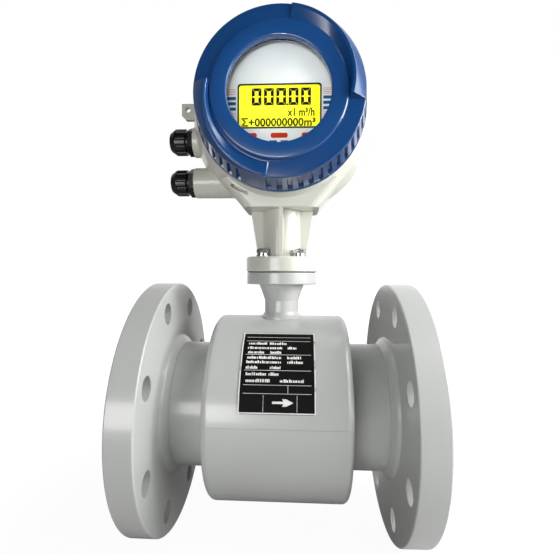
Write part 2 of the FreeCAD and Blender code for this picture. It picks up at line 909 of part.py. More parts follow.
def facing_plate(half_x, half_z, drop, shift_x, rounding, back_y, front_y):
    """Rectangular slab that faces forward, its centre below the head's axis."""
    centre = HEAD + FORWARD * back_y - UP * drop + ALONG_FLOW * shift_x
    face = rounded_rectangle(half_x, half_z, rounding, lambda u, v: centre + V(u, 0, v))
    return face.extrude(FORWARD * (front_y - back_y))


def key_slab(shift_x, front_y):
    return facing_plate(key_half_x, key_half_z, key_drop, shift_x, key_half_z * 0.8,
                        faceplate_back_y, front_y)


def faceplate():
    body = ring(0, faceplate_r, faceplate_back_y, faceplate_y, HEAD, FORWARD)
    window = facing_plate(screen_half_x, screen_half_z, screen_drop, 0, screen_round,
                          faceplate_back_y - 1, faceplate_y + 1)
    body = body.cut(window).cut(faceplate_screws())
    for shift_x in key_shifts:
        body = body.cut(key_slab(shift_x, faceplate_y + 1))
    return body


def screen_bezel():
    """Black frame in the faceplate and the module's case behind it."""
    front_y = faceplate_y + screen_proud
    frame = facing_plate(screen_half_x, screen_half_z, screen_drop, 0, screen_round,
                         faceplate_back_y, front_y)
    case = facing_plate(screen_half_x + screen_body_margin, screen_half_z + screen_body_margin,
                        screen_drop, 0, 1, display_board_y, faceplate_back_y)
    body = joined([frame, case])
    border = screen_border
    return body.cut(facing_plate(screen_half_x - border, screen_half_z - border, screen_drop, 0,
                                 screen_round - border / 2, faceplate_back_y, front_y + 1))


def screen_glass():
    border = screen_border
    return facing_plate(screen_half_x - border, screen_half_z - border, screen_drop, 0,
                        screen_round - border / 2, faceplate_back_y, faceplate_y)


def touch_keys():
    return Part.makeCompound([key_slab(shift, faceplate_y + key_proud) for shift in key_shifts])


def post_positions():
    for x in (-post_x, post_x):
        for z in (-post_z, post_z):
            yield HEAD + V(x, 0, z)


def circuit_board(radius, front_y):
    """Round board with its post holes; front_y is the face towards the display."""
    board = ring(0, radius, front_y - board_thick, front_y, HEAD, FORWARD)
    holes = [ring(0, post_hole_r, front_y - board_thick - 1, front_y + 1, at, FORWARD)
             for at in post_positions()]
    return board.cut(Part.makeCompound(holes))


def standing_block(x, z, half_x, half_z, height, board_y):
    """A block on the forward face of a board."""
    return block(x - half_x, x + half_x, -board_y - height, -board_y,
                 head_z + z - half_z, head_z + z + half_z)


def standing_can(x, z, radius, height, board_y):
    return ring(0, radius, board_y, board_y + height, HEAD + V(x, 0, z), FORWARD)


def display_board():
    """Board of the display module; its plug and chip are on its back."""
    board = circuit_board(display_board_r, display_board_y)
    behind = display_board_y - board_thick
    plug_z = head_z + display_board_r - connector_inset
    plug = block(-display_plug_half_x, display_plug_half_x, -behind, -behind + display_plug_height,
                 plug_z - 2 * connector_half_z, plug_z)
    chip = block(-display_chip_half, display_chip_half, -behind, -behind + display_chip_height,
                 head_z - display_chip_half, head_z + display_chip_half)
    return Part.makeCompound([board, plug, chip])


def main_board():
    front = main_board_y
    pieces = [circuit_board(main_board_r, front)]
    pieces += [standing_block(*sizes, front) for sizes in main_board_blocks]
    pieces += [standing_can(*sizes, front) for sizes in main_board_cans]
    pieces.append(standing_block(0, connector_inset - main_board_r, main_plug_half_x, connector_half_z,
                                 main_plug_height, front))
    return Part.makeCompound(pieces)


def power_board():
    front = power_board_y
    pieces = [circuit_board(power_board_r, front)]
    pieces += [standing_block(*sizes, front) for sizes in power_board_blocks]
    pieces += [standing_can(*sizes, front) for sizes in power_board_cans]
    pieces.append(standing_block(0, power_board_r - connector_inset, power_plug_half_x, connector_half_z,
                                 power_plug_height, front))
    return Part.makeCompound(pieces)


def board_posts():
    """Hexagonal posts from the partition out to the faceplate."""
    stages = [(partition_front_y, power_board_y - board_thick),
              (power_board_y, main_board_y - board_thick),
              (main_board_y, display_board_y - board_thick),
              (display_board_y, faceplate_back_y)]
    posts = []
    for at in post_positions():
        for start, end in stages:
            posts.append(hexagon(post_across, start, end, at, FORWARD))
    return Part.makeCompound(posts)


def faceplate_screws():
    """Countersunk screws, flush with the faceplate."""
    return Part.makeCompound([
        turned([
            (faceplate_back_y, 0, 0),
            (faceplate_back_y, screw_neck_r, 0),
            (faceplate_y, screw_head_r, 0),
            (faceplate_y, 0, 0),
        ], at, FORWARD) for at in post_positions()])


def terminal_positions():
    first = -terminal_pitch * (terminal_count - 1) / 2
    for i in range(terminal_count):
        yield first + terminal_pitch * i


def terminal_block():
    """Stepped block on the back of the partition, with a wire mouth per pole."""
    low, high = head_z + terminal_low, head_z + terminal_high
    back = -partition_back_y
    body = block(-terminal_half_x, terminal_half_x, back, back + terminal_depth, low, high)
    step = block(-terminal_half_x, terminal_half_x, back + terminal_depth - terminal_step,
                 back + terminal_depth, low, low + terminal_step)
    body = body.cut(step)
    for x in terminal_positions():
        mouth = block(x - 2.6, x + 2.6, back + 2.5, back + 7.5, low, low + 7)
        recess = ring(0, terminal_screw_r + 0.4, back + terminal_depth - 3,
                      back + terminal_depth, HEAD + V(x, 0, terminal_high - 7), BACKWARD)
        body = body.cut(mouth).cut(recess)
    return body


def terminal_screws():
    floor_y = terminal_depth - partition_back_y - 3
    screws = []
    for x in terminal_positions():
        at = HEAD + V(x, 0, terminal_high - 7)
        screw = ring(0, terminal_screw_r, floor_y, floor_y + 2.2, at, BACKWARD)
        groove = block(x - terminal_screw_r, x + terminal_screw_r, floor_y + terminal_screw_proud,
                       floor_y + 3, at.z - 0.4, at.z + 0.4)
        screws.append(screw.cut(groove))
    return Part.makeCompound(screws)


def inner_earth_screw():
    at = HEAD + V(earth_screw_x, 0, -earth_screw_drop)
    start = -partition_back_y
    head = ring(0, earth_screw_r, start, start + earth_screw_thick, at, BACKWARD)
    groove = block(at.x - earth_screw_r, at.x + earth_screw_r, start + 1.8,
                   start + earth_screw_thick + 1, at.z - 0.5, at.z + 0.5)
    return head.cut(groove)


def sensor_cable():
    """Screened cable from the magnet yoke up to the terminal block."""
    yoke_top = math.sqrt((yoke_r + yoke_thick) ** 2 - (cable_y - cable_r) ** 2)
    return ring(0, cable_r, yoke_top, head_z + terminal_low, V(0, cable_y, 0), UP)


def neck_potting():
    body = ring(0, neck_bore_r, potting_z, potting_z + potting_thick, ORIGIN, UP)
    return body.cut(ring(0, cable_r, 0, head_z, V(0, cable_y, 0), UP))


# ------------------------------------------------------------------ glands

OUTWARD = V(-1, 0, 0)


def gland_body(z, face_x):
    """Hexagon against the boss, thread inwards and clamping stem outwards."""
    centre = V(0, 0, z)
    face = -face_x
    hexed = hexagon(gland_across, face, face + gland_hex_thick, centre, OUTWARD, 30)
    crown = turned([
        (face, 0, 0),
        (face, gland_across / math.sqrt(3), 0),
        (face + gland_hex_thick - 1, gland_across / math.sqrt(3), 0),
        (face + gland_hex_thick, gland_across / 2, 0),
        (face + gland_hex_thick, 0, 0),
    ], centre, OUTWARD)
    thread = ring(0, entry_thread_r, face - gland_thread_length, face, centre, OUTWARD)
    stem = ring(0, gland_stem_r, face, face + gland_stem_length, centre, OUTWARD)
    body = joined([hexed.common(crown), thread, stem])
    return body.cut(ring(0, gland_wire_r, face - gland_thread_length, face + flange_r,
                         centre, OUTWARD))


def gland_seal(z, face_x):
    """Rubber ring that the nut presses on the cable."""
    start = -face_x + gland_stem_length + running_gap
    end = -face_x + gland_hex_thick + gland_nut_gap + gland_nut_length - gland_nut_end
    return turned([
        (start, seal_bore_r, 0),
        (start, gland_stem_r - 1, 0),
        (end - running_gap, gland_stem_r - 1, 0),
        (end - running_gap, gland_nut_mouth_r - running_gap, 0),
        (end + gland_nut_end - 0.5, gland_nut_mouth_r - running_gap, 0.8),
        (end + gland_nut_end - 0.5, seal_bore_r, 0),
    ], V(0, 0, z), OUTWARD)


def gland_nut(z, face_x):
    """Fluted dome nut."""
    centre = V(0, 0, z)
    start = -face_x + gland_hex_thick + gland_nut_gap
    end = start + gland_nut_length
    body = turned([
        (start, gland_stem_r + running_gap, 0),
        (start, gland_nut_r, 0.6),
        (end - gland_nut_dome, gland_nut_r, 2),
        (end, gland_nut_r - 0.7 * gland_nut_dome, 2),
        (end, gland_nut_mouth_r, 0),
        (end - gland_nut_end, gland_nut_mouth_r, 0),
        (end - gland_nut_end, gland_stem_r + running_gap, 0),
    ], centre, OUTWARD)
    flutes = []
    for i in range(gland_nut_flutes):
        flute = ring(0, gland_flute_r, start - 1, end - gland_nut_dome - 1,
                     centre + UP * (gland_nut_r + 0.8), OUTWARD)
        flutes.append(spun(flute, centre, OUTWARD, 360 * i / gland_nut_flutes))
    return body.cut(Part.makeCompound(flutes))


# ------------------------------------------------------------------ output

def build():
    shell = coil_housing()
    coil = saddle_coil()
    core = pole_core()
    outlet = flange()
    front_seal = cover_seal()
    pieces = {
        "measuring_tube": measuring_tube(),
        "outlet_flange": outlet,
        "inlet_flange": mirrored_in_x(outlet),
        "lining": lining(),
        "coil_housing_upper": housing_half_piece(shell, True),
        "coil_housing_lower": housing_half_piece(shell, False),
        "upper_coil": coil,
        "lower_coil": below(coil),
        "upper_pole_core": core,
        "lower_pole_core": below(core),
        "magnet_yoke": magnet_yoke(),
        "electrodes": both_sides(electrode),
        "electrode_insulators": both_sides(electrode_insulator),
        "electrode_nuts": both_sides(electrode_nut),
        "rating_plate": rating_plate(),
        "neck_tube": neck_tube(),
        "neck_gasket": neck_gasket(),
        "base_bolts": base_bolts(),
        "flat_washers": flat_washers(),
        "spring_washers": spring_washers(),
        "converter_stem": converter_stem(),
        "converter_housing": converter_housing(),
        "fixing_lug": fixing_lug(),
        "front_cover": front_cover(),
        "front_cover_seal": front_seal,
        "window_gasket": window_gasket(),
        "window_glass": window_glass(),
        "window_retainer": window_retainer(),
        "rear_cover": rear_cover(),
        "rear_cover_seal": spun(front_seal, ORIGIN, UP, 180),
        "faceplate": faceplate(),
        "screen_bezel": screen_bezel(),
        "screen_glass": screen_glass(),
        "touch_keys": touch_keys(),
        "display_board": display_board(),
        "main_board": main_board(),
        "power_board": power_board(),
        "board_posts": board_posts(),
        "faceplate_screws": faceplate_screws(),
        "terminal_block": terminal_block(),
        "terminal_screws": terminal_screws(),
        "inner_earth_screw": inner_earth_screw(),
        "sensor_cable": sensor_cable(),
        "neck_potting": neck_potting(),
    }
    entries = {"upper": (entry_high_z, entry_high_x), "lower": (entry_low_z, entry_low_x)}
    for name, (z, face_x) in entries.items():
        pieces[name + "_gland_body"] = gland_body(z, face_x)
        pieces[name + "_gland_seal"] = gland_seal(z, face_x)
        pieces[name + "_gland_nut"] = gland_nut(z, face_x)
    return pieces


os.makedirs("parts", exist_ok=True)
for node, shape in build().items():
    shape.exportStep("parts/" + node + ".step")
    print(node, len(shape.Solids), round(shape.Volume / 1000, 2), shape.isValid())
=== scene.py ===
import json
import math
import random

import bmesh
import bpy
from mathutils import Matrix, Vector


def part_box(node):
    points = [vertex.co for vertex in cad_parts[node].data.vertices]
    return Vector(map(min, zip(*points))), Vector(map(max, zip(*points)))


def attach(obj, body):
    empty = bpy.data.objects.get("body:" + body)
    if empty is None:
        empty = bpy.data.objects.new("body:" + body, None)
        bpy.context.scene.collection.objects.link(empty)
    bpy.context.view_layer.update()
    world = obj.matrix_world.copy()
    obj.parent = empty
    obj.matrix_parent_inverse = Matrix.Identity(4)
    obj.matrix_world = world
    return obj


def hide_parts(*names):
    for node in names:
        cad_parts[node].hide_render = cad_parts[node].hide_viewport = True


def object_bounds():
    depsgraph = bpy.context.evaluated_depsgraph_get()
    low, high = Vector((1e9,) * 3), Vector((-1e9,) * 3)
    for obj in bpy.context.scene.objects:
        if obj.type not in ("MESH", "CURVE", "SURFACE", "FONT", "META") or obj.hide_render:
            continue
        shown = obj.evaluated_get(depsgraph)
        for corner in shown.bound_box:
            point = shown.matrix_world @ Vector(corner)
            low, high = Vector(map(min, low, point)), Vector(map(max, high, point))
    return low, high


bl_info = {
    "name": "Flow Meter Finish",
    "version": (1, 0, 0),
    "blender": (4, 5, 0),
    "location": "View3D > Sidebar > Flow Meter",
    "description": "Paints and details a flanged electromagnetic flow meter and sets up its studio",
    "category": "Object",
}

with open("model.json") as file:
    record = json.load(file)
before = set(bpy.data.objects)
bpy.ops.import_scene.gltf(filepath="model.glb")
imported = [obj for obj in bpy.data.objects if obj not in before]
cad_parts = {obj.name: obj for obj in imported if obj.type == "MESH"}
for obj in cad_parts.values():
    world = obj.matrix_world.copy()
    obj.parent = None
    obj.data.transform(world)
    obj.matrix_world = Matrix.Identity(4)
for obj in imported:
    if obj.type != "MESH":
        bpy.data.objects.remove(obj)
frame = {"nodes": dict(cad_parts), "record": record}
CAD_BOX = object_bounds()

MM = 0.001
UP = Vector((0, 0, 1))
FORWARD = Vector((0, -1, 0))
BACKWARD = Vector((0, 1, 0))


def frame_span(node):
    """Lowest and highest corner of a carried node, in millimetres."""
    low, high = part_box(node)
    return low / MM, high / MM


HOUSING_HIGH = frame_span("coil_housing_lower")[1]
COVER_LOW, COVER_HIGH = frame_span("front_cover")
PLATE_LOW, PLATE_HIGH = frame_span("rating_plate")
PANEL_LOW = frame_span("faceplate")[0]
SCREEN_LOW, SCREEN_HIGH = frame_span("screen_glass")
HEAD = Vector((0, 0, (COVER_LOW.z + COVER_HIGH.z) / 2))


def linear(red, green, blue):
    """Linear colour of a swatch given as 0 to 255 screen values."""
    parts = []
    for value in (red, green, blue):
        share = value / 255
        parts.append(share / 12.92 if share < 0.04045 else ((share + 0.055) / 1.055) ** 2.4)
    return tuple(parts)


# -------------------------------------------------------------------- settings

def swatch(name, description, red, green, blue):
    return bpy.props.FloatVectorProperty(name=name, description=description, subtype="COLOR",
                                         size=3, min=0, max=1, default=linear(red, green, blue))


def length(name, description, millimetres):
    return bpy.props.FloatProperty(name=name, description=description, default=millimetres * MM,
                                   unit="LENGTH", precision=5)


def power(name, description, watts):
    return bpy.props.FloatProperty(name=name, description=description, default=watts, min=0,
                                   unit="POWER")


class FLOW_PG_finish(bpy.types.PropertyGroup):
    """Colours of the paints, plastics and prints."""
    body_grey: swatch("Body grey", "Gloss paint on tube, flanges and coil housing", 189, 191, 188)
    head_cream: swatch("Head cream", "Gloss paint on the converter casting", 214, 214, 203)
    cover_blue: swatch("Cover blue", "Gloss paint on the two screwed covers", 18, 66, 122)
    gland_black: swatch("Gland black", "Polyamide of the cable glands", 22, 22, 24)
    panel_white: swatch("Panel white", "Printed sheet behind the window", 226, 226, 230)
    stripe_blue: swatch("Stripe blue", "Wide stripes beside the screen", 20, 78, 140)
    stripe_red: swatch("Stripe red", "Hairline stripes beside the screen", 190, 130, 130)
    key_red: swatch("Key red", "Optical keys below the screen", 196, 44, 8)
    screen_yellow: swatch("Screen yellow", "Lit background of the screen", 250, 246, 14)
    screen_ink: swatch("Screen ink", "Dark segments and characters", 10, 6, 1)
    plate_black: swatch("Plate black", "Ground of the rating plate", 10, 10, 11)
    plate_white: swatch("Plate white", "Print and border of the rating plate", 240, 240, 236)


class FLOW_PG_covers(bpy.types.PropertyGroup):
    """Sizes of the screwed covers."""
    grip_count: bpy.props.IntProperty(name="Grips", description="Grip grooves round a cover",
                                      default=50, min=12, max=120)
    grip_depth: length("Grip depth", "Depth of a grip groove", 2.6)
    ramp_high: length("Ramp height", "Height of a wrench ramp at its steep end", 9.8)
    ramp_low: length("Ramp start height", "Height of a wrench ramp where it starts", 2.0)


class FLOW_PG_prints(bpy.types.PropertyGroup):
    """Prints on the rating plate and the display."""
    print_thickness: length("Print thickness", "How far the print stands off the plate", 0.06)
    border_width: length("Border width", "Pale border round the rating plate", 0.9)
    digit_height: length("Digit height", "Height of the large digits", 13.8)
    digit_width: length("Digit width", "Width of a large digit", 7.9)
    digit_pitch: length("Digit pitch", "Step from digit to digit", 9.9)


class FLOW_PG_studio(bpy.types.PropertyGroup):
    """Floor, lamps and camera."""
    floor_tone: swatch("Floor tone", "Plain floor, before the light that whitens it for the camera",
                       178, 178, 178)
    high_power: power("High", "Lamp high on the right", 8.6)
    right_power: power("Right", "Lamp in front on the right", 4.4)
    head_power: power("Head", "Small lamp on the right at the height of the head", 5.0)
    low_power: power("Low", "Lamp low in front on the left", 7.5)
    window_power: power("Window", "Narrow spot through the display window", 25.0)
    surround: bpy.props.FloatProperty(name="Surround", default=1.06, min=0,
                                      description="Strength of the bright wall behind the meter")
    lens: bpy.props.FloatProperty(name="Lens", default=26.605, min=10,
                                  description="Focal length in millimetres")


# -------------------------------------------------------------------- shaders

class Value:
    """A shader socket that sums, differences and products can be written with."""

    def __init__(self, recipe, socket):
        self.recipe = recipe
        self.socket = socket

    def combine(self, operation, first, second):
        return self.recipe.node("ShaderNodeMath", {0: first, 1: second}, operation=operation)

    def __add__(self, other):
        return self.combine("ADD", self, other)

    def __sub__(self, other):
        return self.combine("SUBTRACT", self, other)

    def __rsub__(self, other):
        return self.combine("SUBTRACT", other, self)

    def __mul__(self, other):
        return self.combine("MULTIPLY", self, other)

    __radd__ = __add__
    __rmul__ = __mul__


class Recipe:
    """The node tree of one material or of the world."""

    def __init__(self, owner):
        owner.use_nodes = True
        self.owner = owner
        self.tree = owner.node_tree
        self.tree.nodes.clear()

    def node(self, kind, inputs=None, output=0, stops=None, **settings):
        """Adds a node: settings first, then the values or links of its sockets."""
        made = self.tree.nodes.new(kind)
        for name, value in settings.items():
            setattr(made, name, value)
        if stops:
            ramp = made.color_ramp
            for spare in list(ramp.elements)[1:]:
                ramp.elements.remove(spare)
            ramp.elements[0].position, ramp.elements[0].color = stops[0]
            for position, colour in stops[1:]:
                ramp.elements.new(position).color = colour
        for name, value in (inputs or {}).items():
            socket = made.inputs[name]
            if isinstance(value, Value):
                self.tree.links.new(value.socket, socket)
            elif socket.type == "RGBA" and len(value) == 3:
                socket.default_value = (*value, 1)
            else:
                socket.default_value = value
        return Value(self, made.outputs[output]) if made.outputs else None

    def noise(self, scale, detail=2.0, roughness=0.5):
        """Noise fixed to the piece, scale in lumps per metre."""
        place = self.node("ShaderNodeTexCoord", output="Object")
        return self.node("ShaderNodeTexNoise",
                         {"Vector": place, "Scale": scale, "Detail": detail,
                          "Roughness": roughness}, output="Fac")

    def mix(self, share, first, second):
        return self.node("ShaderNodeMix", {0: share, 6: first, 7: second}, output=2,
                         data_type="RGBA")

    def spread(self, value, low, high):
        """Maps the middle of a noise to the range low to high."""
        return self.node("ShaderNodeMapRange", {"Value": value, "From Min": 0.3, "From Max": 0.7,
                                                "To Min": low, "To Max": high}, output="Result")

    def soft_edges(self, radius):
        return self.node("ShaderNodeBevel", {"Radius": radius}, samples=4)

    def bump(self, height, distance, normal=None):
        inputs = {"Height": height, "Distance": distance}
        if normal is not None:
            inputs["Normal"] = normal
        return self.node("ShaderNodeBump", inputs)

    def surface(self, **inputs):
        """Principled surface; underscores in the names stand for spaces."""
        named = {name.replace("_", " "): value for name, value in inputs.items()}
        shader = self.node("ShaderNodeBsdfPrincipled", named)
        self.finish(shader)

    def finish(self, shader):
        self.node("ShaderNodeOutputMaterial", {"Surface": shader})


PRINT_GRAIN = 0.004 * MM
PRINT_ROUGHNESS = 0.6
PRINT_SHINE = 0.15
SCRATCH_DEPTH = 0.01 * MM
METAL_EDGE = 0.25 * MM
RUBBER_GRAIN = 0.03 * MM
WIRE_DEPTH = 0.2 * MM
TRACK_DEPTH = 0.03 * MM
WINDOW_INDEX = 1.3
SCREEN_GLOW = 0.35


def tinted(colour, factor):
    return tuple(min(1.0, part * factor) for part in colour)


def material(name):
    return Recipe(bpy.data.materials.new(name))


def gloss_paint(name, colour, roughness, peel, edge=0.5 * MM):
    """Sprayed gloss paint: faint orange peel, slight tone drift, softened edges."""
    recipe = material(name)
    drift = recipe.spread(recipe.noise(9, 2), 0, 1)
    peel_noise = recipe.noise(420, 2) * 0.7 + recipe.noise(1500, 1) * 0.3
    recipe.surface(
        Base_Color=recipe.mix(drift, tinted(colour, 0.98), tinted(colour, 1.02)),
        Roughness=recipe.spread(recipe.noise(60, 3), roughness - 0.015, roughness + 0.02),
        Normal=recipe.bump(peel_noise, peel, recipe.soft_edges(edge)),
        Coat_Weight=0.6,
        Coat_Roughness=0.14,
    )
    return recipe.owner


def moulded_plastic(name, colour, roughness, grain=0.02 * MM, edge=0.3 * MM, shine=0.5):
    """Moulded plastic with a fine spark grain."""
    recipe = material(name)
    cloud = recipe.spread(recipe.noise(25, 2), 0, 1)
    recipe.surface(
        Base_Color=recipe.mix(cloud, tinted(colour, 0.9), tinted(colour, 1.1)),
        Roughness=recipe.spread(recipe.noise(180, 3), roughness - 0.05, roughness + 0.08),
        Normal=recipe.bump(recipe.noise(2600, 2), grain, recipe.soft_edges(edge)),
        Specular_IOR_Level=shine,
    )
    return recipe.owner


def print_ink(name, colour):
    """Matt printed or painted sheet."""
    return moulded_plastic(name, colour, PRINT_ROUGHNESS, PRINT_GRAIN, shine=PRINT_SHINE)


def metal(name, colour, roughness):
    """Plated or machined metal with fine scratches and tarnish."""
    recipe = material(name)
    cloud = recipe.spread(recipe.noise(140, 4), 0, 1)
    recipe.surface(
        Base_Color=recipe.mix(cloud, tinted(colour, 0.86), colour),
        Metallic=1.0,
        Roughness=recipe.spread(recipe.noise(300, 4), roughness - 0.06, roughness + 0.1),
        Normal=recipe.bump(recipe.noise(2200, 2), SCRATCH_DEPTH, recipe.soft_edges(METAL_EDGE)),
    )
    return recipe.owner


def rubber(name, colour):
    recipe = material(name)
    cloud = recipe.spread(recipe.noise(90, 3), 0, 1)
    recipe.surface(
        Base_Color=recipe.mix(cloud, tinted(colour, 0.8), tinted(colour, 1.3)),
        Roughness=recipe.spread(recipe.noise(400, 3), 0.6, 0.8),
        Normal=recipe.bump(recipe.noise(1800, 3), RUBBER_GRAIN),
    )
    return recipe.owner


def winding(name, colour):
    """Enamelled wire laid in close turns; the grooves between turns are darkened as painted shade.
    """
    recipe = material(name)
    place = recipe.node("ShaderNodeTexCoord", output="Object")
    turns = recipe.node("ShaderNodeTexWave",
                        {"Vector": place, "Scale": 320.0, "Distortion": 1.5, "Detail": 1.0},
                        output="Fac", bands_direction="X")
    recipe.surface(
        # Half-bright colour in the wave's low, the grooves between turns: painted shade.
        Base_Color=recipe.mix(turns, tinted(colour, 0.5), colour),
        Metallic=0.7,
        Roughness=0.35,
        Normal=recipe.bump(turns, WIRE_DEPTH),
    )
    return recipe.owner


def circuit(name, colour):
    """Solder mask over faint copper areas."""
    recipe = material(name)
    place = recipe.node("ShaderNodeTexCoord", output="Object")
    tracks = recipe.node("ShaderNodeTexVoronoi", {"Vector": place, "Scale": 180.0},
                         output="Distance", distance="MANHATTAN")
    stops = [(at, (*tinted(colour, factor), 1))
             for at, factor in ((0.0, 1.5), (0.35, 1), (0.5, 0.7))]
    shade = recipe.node("ShaderNodeValToRGB", {"Fac": tracks}, output="Color", stops=stops)
    recipe.surface(Base_Color=shade, Roughness=0.35, Normal=recipe.bump(tracks, TRACK_DEPTH))
    return recipe.owner


def clear_glass(name):
    """Flat window glass: mostly clear, mirroring at shallow angles."""
    recipe = material(name)
    clear = recipe.node("ShaderNodeBsdfTransparent", {"Color": (0.965, 0.98, 0.975)})
    mirror = recipe.node("ShaderNodeBsdfGlossy", {"Color": (1, 1, 1), "Roughness": 0.02})
    share = recipe.node("ShaderNodeFresnel", {"IOR": WINDOW_INDEX})
    recipe.finish(recipe.node("ShaderNodeMixShader", {0: share, 1: clear, 2: mirror}))
    return recipe.owner


def lit_screen(name, colour):
    """Back-lit screen, a little darker towards one corner."""
    recipe = material(name)
    cloud = recipe.spread(recipe.noise(22, 1), 0, 1)
    lit = recipe.mix(cloud, tinted(colour, 0.93), colour)
    recipe.surface(Base_Color=lit, Roughness=0.4, Emission_Color=lit, Emission_Strength=SCREEN_GLOW)
    return recipe.owner


def make_materials():
    """Every finish, by the record's material slot or the print's name."""
    tone = bpy.context.scene.flow_finish
    grey, cream, blue = tuple(tone.body_grey), tuple(tone.head_cream), tuple(tone.cover_blue)
    return {
        "body_paint": gloss_paint("body_paint", grey, 0.3, 0.05 * MM, 0.8 * MM),
        "tube_steel": gloss_paint("tube_paint", grey, 0.33, 0.05 * MM),
        "converter_paint": gloss_paint("converter_paint", cream, 0.34, 0.05 * MM, 1.0 * MM),
        "cover_paint": gloss_paint("cover_paint", blue, 0.22, 0.03 * MM, 0.4 * MM),
        "liner": moulded_plastic("fluoroplastic", linear(236, 236, 232), 0.42),
        "insulator": moulded_plastic("ivory_plastic", linear(230, 224, 204), 0.5),
        "faceplate_plastic": print_ink("panel_sheet", tuple(tone.panel_white)),
        "screen_frame": moulded_plastic("screen_frame", linear(12, 12, 13), 0.4),
        "terminal_plastic": moulded_plastic("terminal_plastic", linear(28, 104, 60), 0.5),
        "gland_black": moulded_plastic("gland_polyamide", tuple(tone.gland_black), 0.28),
        "cable_grey": moulded_plastic("cable_sheath", linear(96, 96, 100), 0.55),
        "potting_resin": moulded_plastic("potting_resin", linear(30, 30, 34), 0.25),
        "key_red": print_ink("key_red", tuple(tone.key_red)),
        "electrode_steel": metal("electrode_steel", linear(205, 206, 208), 0.2),
        "zinc": metal("bright_zinc", linear(200, 202, 204), 0.24),
        "retainer_metal": metal("turned_aluminium", linear(170, 172, 176), 0.3),
        "post_brass": metal("plated_brass", linear(214, 190, 120), 0.28),
        "iron": metal("bare_iron", linear(120, 120, 122), 0.5),
        "copper": winding("copper_winding", linear(196, 110, 60)),
        "gasket_rubber": rubber("black_rubber", linear(24, 24, 25)),
        "board_green": circuit("solder_mask", linear(16, 92, 48)),
        "window": clear_glass("window_glass"),
        "screen_light": lit_screen("lit_screen", tuple(tone.screen_yellow)),
        "plate_black": print_ink("plate_black", tuple(tone.plate_black)),
        "plate_white": print_ink("plate_white", tuple(tone.plate_white)),
        "stripe_blue": print_ink("stripe_blue", tuple(tone.stripe_blue)),
        "stripe_red": print_ink("stripe_red", tuple(tone.stripe_red)),
        "screen_ink": print_ink("screen_ink", tuple(tone.screen_ink)),
    }


MATERIALS = {}


def finish_of(slot):
    """The material for a slot; they are made on first use."""
    if not MATERIALS:
        MATERIALS.update(make_materials())
    return MATERIALS[slot]


# --------------------------------------------------------------------- meshes

RECORD_SLOTS = {entry["slot"] for entry in frame["record"]["materials"]}
WELD = 2e-6
SLIVER = 1e-6
ROUNDING_STEPS = 4
MOST_OF_SIDE = 0.45
NEARLY_STRAIGHT = 1.55


def piece(name, points, faces, slot, body, stands_for=(), sharp=32):
    """Links a mesh given in millimetres, smooth except at sharp edges, riding on a body."""
    mesh = bpy.data.meshes.new(name)
    mesh.from_pydata([Vector(p) * MM for p in points], [], faces)
    work = bmesh.new()
    work.from_mesh(mesh)
    bmesh.ops.remove_doubles(work, verts=work.verts, dist=WELD)
    bmesh.ops.dissolve_degenerate(work, edges=work.edges, dist=SLIVER)
    bmesh.ops.recalc_face_normals(work, faces=work.faces)
    work.to_mesh(mesh)
    work.free()
    mesh.polygons.foreach_set("use_smooth", [True] * len(mesh.polygons))
    mesh.set_sharp_from_angle(angle=math.radians(sharp))
    mesh.materials.append(finish_of(slot))
    thing = bpy.data.objects.new(name, mesh)
    bpy.context.scene.collection.objects.link(thing)
    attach(thing, body)
    if stands_for:
        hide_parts(*stands_for)
    slot in RECORD_SLOTS
    return thing


def rounded(corners):
    """Closed outline of (along, out, rounding) corners, each rounding in ROUNDING_STEPS steps."""
    points = []
    count = len(corners)
    for i, (along, out, rounding) in enumerate(corners):
        here = Vector((along, out))
        if rounding <= 0:
            points.append(here)
            continue
        back = Vector(corners[i - 1][:2]) - here
        ahead = Vector(corners[(i + 1) % count][:2]) - here
        if min(back.length, ahead.length) < 1e-6:
            points += [here] * (ROUNDING_STEPS + 1)
            continue
        half = back.angle(ahead) / 2
        side = MOST_OF_SIDE * min(back.length, ahead.length)
        reach = min(rounding / math.tan(max(half, 0.01)), side)
        radius = reach * math.tan(half)
        if half > NEARLY_STRAIGHT or radius < 1e-4:
            points += [here] * (ROUNDING_STEPS + 1)
            continue
        middle = (back.normalized() + ahead.normalized()).normalized()
        centre = here + middle * (radius / math.sin(half))
        start = here + back.normalized() * reach - centre
        end = here + ahead.normalized() * reach - centre
        sweep = math.pi - 2 * half
        for k in range(ROUNDING_STEPS + 1):
            share = k / ROUNDING_STEPS
            offset = start * math.sin((1 - share) * sweep) + end * math.sin(share * sweep)
            points.append(centre + offset / math.sin(sweep))
    return points


def turned_grid(angles, outline_at, centre, axis):
    """Points and faces of a closed outline carried round an axis, clockwise seen from outside."""
    side = UP.cross(axis)
    points, faces = [], []
    for angle in angles:
        turn = math.radians(angle)
        radial = UP * math.cos(turn) + side * math.sin(turn)
        points += [centre + axis * p.x + radial * p.y for p in outline_at(angle)]
    rows = len(points) // len(angles)
    for column in range(len(angles)):
        here, there = column * rows, (column + 1) % len(angles) * rows
        for row in range(rows):
            above = (row + 1) % rows
            faces.append((here + row, here + above, there + above, there + row))
    return points, faces


def smooth_step(value, low, high):
    share = min(1.0, max(0.0, (value - low) / (high - low)))
    return share * share * (3 - 2 * share)


# --------------------------------------------------------------------- covers

